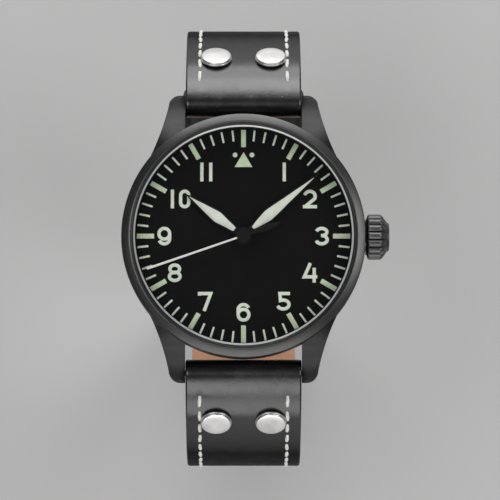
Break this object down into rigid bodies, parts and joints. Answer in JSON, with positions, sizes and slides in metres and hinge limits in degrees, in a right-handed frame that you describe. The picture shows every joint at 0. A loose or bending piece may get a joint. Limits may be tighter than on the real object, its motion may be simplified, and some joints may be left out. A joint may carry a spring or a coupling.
{
  "type": "wrist watch",
  "caption": "Round pilot style wrist watch: dark steel case with fluted crown, legible hands and dial, and a riveted two-piece leather strap with a pin buckle, unbuckled.",
  "frame": {"origin": "centre of the outer face of the case back", "axes": "+X towards 3 o'clock and the crown, +Y towards 12 o'clock, +Z out of the dial"},
  "size_m": [0.0461, 0.078, 0.1081],
  "materials": {
    "case_metal": "dark gunmetal coating, satin",
    "bezel_metal": "dark gunmetal, circular brushed",
    "crystal_glass": "clear, flat, bevelled edge",
    "dial_black": "matt black",
    "lume": "pale green luminous filling",
    "hand_black": "matt black",
    "hand_white": "matt white",
    "wheel_brass": "plain",
    "movement_steel": "polished",
    "plate_metal": "nickel plated, fine grained",
    "holder_plastic": "black moulded",
    "black_rubber": "plain",
    "bar_steel": "plain",
    "black_leather": "black, semi-gloss, fine grain",
    "tan_leather": "tan lining",
    "rivet_steel": "satin steel",
    "buckle_metal": "dark gunmetal coating, satin"
  },
  "bodies": {
    "case": {"case_body": "case_metal", "bezel": "bezel_metal", "crystal": "crystal_glass", "inner_ring": "dial_black", "case_back": "case_metal", "dial": "dial_black", "dial_markers": "lume", "main_plate": "plate_metal", "train_bridge": "plate_metal", "bridge_screws": "movement_steel", "balance_cock": "plate_metal", "rotor_screw": "movement_steel", "movement_holder": "holder_plastic", "crown_tube": "movement_steel", "top_bar_tube": "bar_steel", "tail_bar_tube": "bar_steel"},
    "minute": {"minute_hand": "hand_black", "minute_hand_lume": "lume", "cannon_pinion": "movement_steel"},
    "hour": {"hour_hand": "hand_black", "hour_hand_lume": "lume", "hour_wheel": "wheel_brass"},
    "minute_wheel": {"minute_wheel": "wheel_brass"},
    "seconds": {"seconds_hand": "hand_black", "seconds_hand_bar": "hand_white", "seconds_arbor": "movement_steel"},
    "balance": {"balance_wheel": "wheel_brass", "hairspring": "movement_steel"},
    "rotor": {"rotor": "plate_metal"},
    "winding": {"sliding_pinion": "movement_steel"},
    "crown": {"crown": "case_metal", "crown_gasket": "black_rubber", "winding_stem": "movement_steel"},
    "top_tip_right": {"top_bar_tip_right": "bar_steel"},
    "top_tip_left": {"top_bar_tip_left": "bar_steel"},
    "tail_tip_right": {"tail_bar_tip_right": "bar_steel"},
    "tail_tip_left": {"tail_bar_tip_left": "bar_steel"},
    "buckle_tip_right": {"buckle_bar_tip_right": "bar_steel"},
    "buckle_tip_left": {"buckle_bar_tip_left": "bar_steel"},
    "strap_top": {"strap_top_leather": "black_leather", "strap_top_lining": "tan_leather", "strap_top_rivets": "rivet_steel", "fixed_keeper": "black_leather", "buckle_bar_tube": "bar_steel"},
    "strap_tail": {"strap_tail_leather": "black_leather", "strap_tail_lining": "tan_leather", "strap_tail_rivets": "rivet_steel"},
    "free_keeper": {"free_keeper": "black_leather"},
    "buckle": {"buckle_frame": "buckle_metal"},
    "tongue": {"buckle_tongue": "buckle_metal"}
  },
  "joints": [
    {"name": "minute_turn", "type": "hinge", "parent": "case", "child": "minute", "pos_m": [0, 0, 0.008], "axis": [0, 0, -1], "continuous": true},
    {"name": "hour_turn", "type": "hinge", "parent": "case", "child": "hour", "pos_m": [0, 0, 0.008], "axis": [0, 0, -1], "continuous": true},
    {"name": "minute_wheel_turn", "type": "hinge", "parent": "case", "child": "minute_wheel", "pos_m": [0.00312, -0.0018, 0.0065], "axis": [0, 0, -1], "continuous": true},
    {"name": "seconds_turn", "type": "hinge", "parent": "case", "child": "seconds", "pos_m": [0, 0, 0.008], "axis": [0, 0, -1], "continuous": true},
    {"name": "balance_swing", "type": "hinge", "parent": "case", "child": "balance", "pos_m": [-0.0052, -0.0052, 0.0045], "axis": [0, 0, 1], "range_deg": [-270, 270], "stiffness_Nm_per_rad": 0.0000007},
    {"name": "rotor_spin", "type": "hinge", "parent": "case", "child": "rotor", "pos_m": [0, 0, 0.0023], "axis": [0, 0, 1], "continuous": true},
    {"name": "crown_turn", "type": "hinge", "parent": "case", "child": "winding", "pos_m": [0.0075, 0, 0.0053], "axis": [1, 0, 0], "continuous": true},
    {"name": "crown_pull", "type": "slide", "parent": "winding", "child": "crown", "axis": [1, 0, 0], "range_m": [0, 0.001]},
    {"name": "top_tip_right_slide", "type": "slide", "parent": "case", "child": "top_tip_right", "axis": [1, 0, 0], "range_m": [-0.00115, 0], "stiffness_N_per_m": 400, "springref_m": 0.001},
    {"name": "top_tip_left_slide", "type": "slide", "parent": "case", "child": "top_tip_left", "axis": [-1, 0, 0], "range_m": [-0.00115, 0], "stiffness_N_per_m": 400, "springref_m": 0.001},
    {"name": "tail_tip_right_slide", "type": "slide", "parent": "case", "child": "tail_tip_right", "axis": [1, 0, 0], "range_m": [-0.00115, 0], "stiffness_N_per_m": 400, "springref_m": 0.001},
    {"name": "tail_tip_left_slide", "type": "slide", "parent": "case", "child": "tail_tip_left", "axis": [-1, 0, 0], "range_m": [-0.00115, 0], "stiffness_N_per_m": 400, "springref_m": 0.001},
    {"name": "strap_top_swing", "type": "hinge", "parent": "case", "child": "strap_top", "pos_m": [0, 0.0234, 0.0026], "axis": [1, 0, 0], "range_deg": [-8, 90]},
    {"name": "strap_tail_swing", "type": "hinge", "parent": "case", "child": "strap_tail", "pos_m": [0, -0.0234, 0.0026], "axis": [-1, 0, 0], "range_deg": [-8, 90]},
    {"name": "buckle_tip_right_slide", "type": "slide", "parent": "strap_top", "child": "buckle_tip_right", "axis": [1, 0, 0], "range_m": [-0.00115, 0], "stiffness_N_per_m": 400, "springref_m": 0.001},
    {"name": "buckle_tip_left_slide", "type": "slide", "parent": "strap_top", "child": "buckle_tip_left", "axis": [-1, 0, 0], "range_m": [-0.00115, 0], "stiffness_N_per_m": 400, "springref_m": 0.001},
    {"name": "keeper_slide", "type": "slide", "parent": "strap_top", "child": "free_keeper", "axis": [0, 0.6947, 0.7193], "range_m": [0, 0.0025]},
    {"name": "buckle_swing", "type": "hinge", "parent": "strap_top", "child": "buckle", "pos_m": [0, 0.01485, -0.05437], "axis": [1, 0, 0], "range_deg": [-60, 45]},
    {"name": "tongue_swing", "type": "hinge", "parent": "buckle", "child": "tongue", "pos_m": [0, 0.01485, -0.05437], "axis": [1, 0, 0], "range_deg": [0, 70]}
  ],
  "couplings": [
    {"joint": "hour_turn", "follows": "minute_turn", "ratio": 0.083333},
    {"joint": "minute_wheel_turn", "follows": "minute_turn", "ratio": -0.33333}
  ]
}
